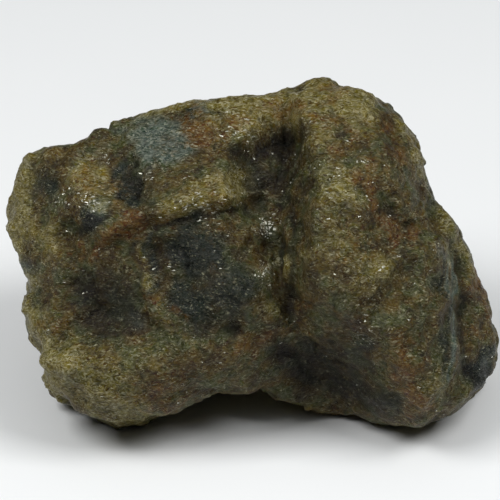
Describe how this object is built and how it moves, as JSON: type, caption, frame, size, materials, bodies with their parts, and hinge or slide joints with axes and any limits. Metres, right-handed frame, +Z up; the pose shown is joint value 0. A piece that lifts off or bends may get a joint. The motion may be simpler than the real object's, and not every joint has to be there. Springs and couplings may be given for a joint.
{
  "type": "rough labradorite chunk",
  "caption": "Rough broken chunk of labradorite feldspar in one natural piece, standing on its worn underside, with ledges, a hollow and a lobe at one end.",
  "frame": {"origin": "middle of the bounding box at the bottom, where the stone rests", "axes": "+X to the right along the stone's length as its show face is looked at, +Y away from the show face, +Z up"},
  "size_m": [0.0618, 0.0363, 0.0387],
  "materials": {
    "labradorite": "glassy broken feldspar with worn, rust-stained skin"
  },
  "bodies": {
    "root": {"stone": "labradorite"}
  },
  "joints": []
}
